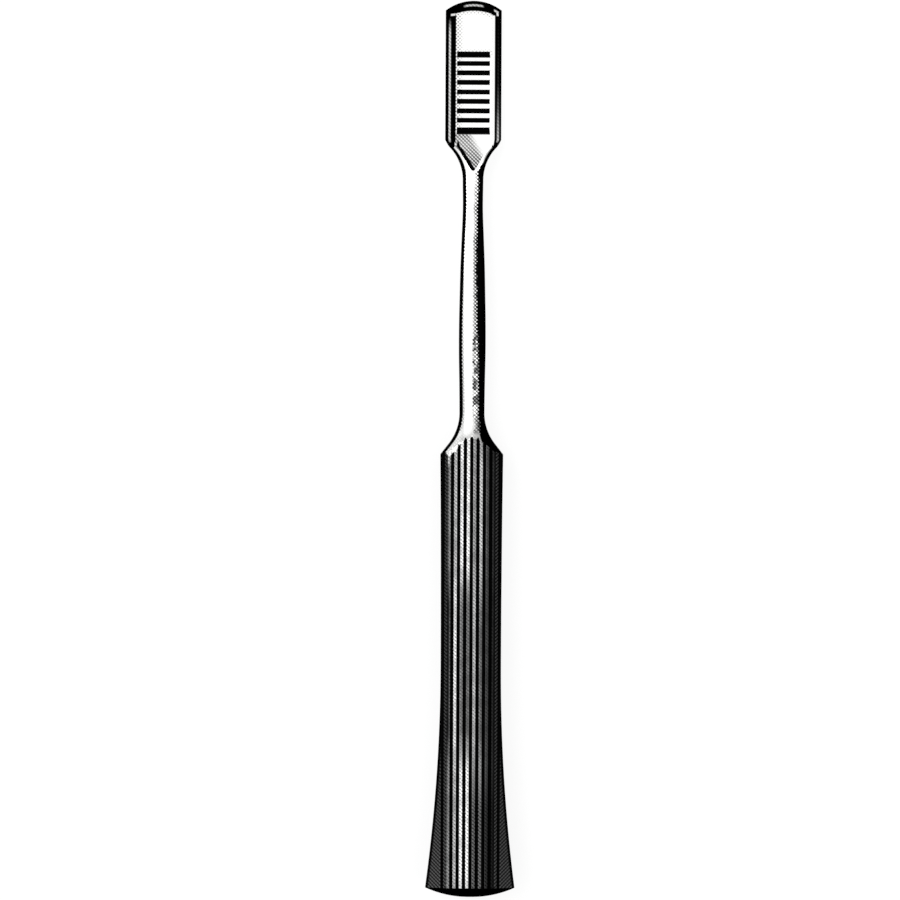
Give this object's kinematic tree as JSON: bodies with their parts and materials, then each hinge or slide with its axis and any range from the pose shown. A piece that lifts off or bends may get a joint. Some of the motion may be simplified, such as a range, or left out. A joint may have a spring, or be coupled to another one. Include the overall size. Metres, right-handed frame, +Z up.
{
  "type": "raspatory",
  "caption": "Straight steel raspatory: bevelled blade with cross grooves, slim swelling shaft and flat fluted handle that flares to a crowned butt, lying on its back.",
  "frame": {"origin": "under the middle of the instrument's box, at the height of the table that it lies on", "axes": "+Y along the instrument towards the blade's tip, +X across it to the right seen from above, +Z up out of the grooved and fluted front"},
  "size_m": [0.0214, 0.2149, 0.012],
  "materials": {
    "steel": "ground and polished blade and shaft, satin handle"
  },
  "bodies": {
    "root": {"raspatory": "steel"}
  },
  "joints": []
}
